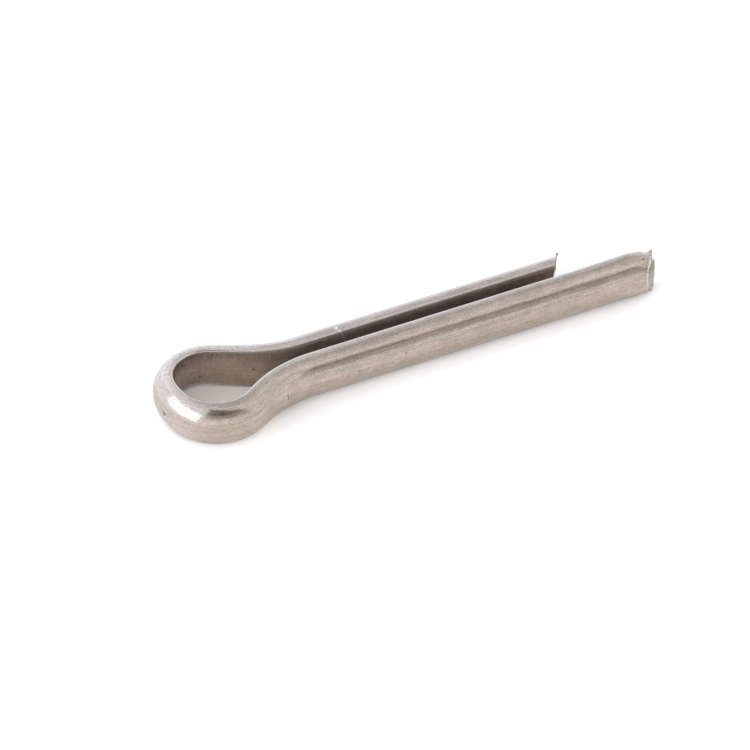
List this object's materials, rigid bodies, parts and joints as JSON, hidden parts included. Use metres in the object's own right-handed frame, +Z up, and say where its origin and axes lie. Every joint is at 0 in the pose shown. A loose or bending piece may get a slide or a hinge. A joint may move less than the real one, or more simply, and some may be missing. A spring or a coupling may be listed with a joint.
{
  "type": "cotter pin",
  "caption": "Cotter pin bent from half-round wire, with a round eye and flat-faced legs that lie side by side, one reaching past the other, with sheared ends.",
  "frame": {"origin": "on the surface the pin lies on, below the middle of its outline", "axes": "+X along the legs from the eye to the tips, +Y from the long leg to the short one, +Z up, square to the plane of the bends"},
  "size_m": [0.0488, 0.0116, 0.0045],
  "materials": {
    "wire": "drawn wire, satin, with fine scratches along its length"
  },
  "bodies": {
    "root": {"cotter_pin": "wire"}
  },
  "joints": []
}
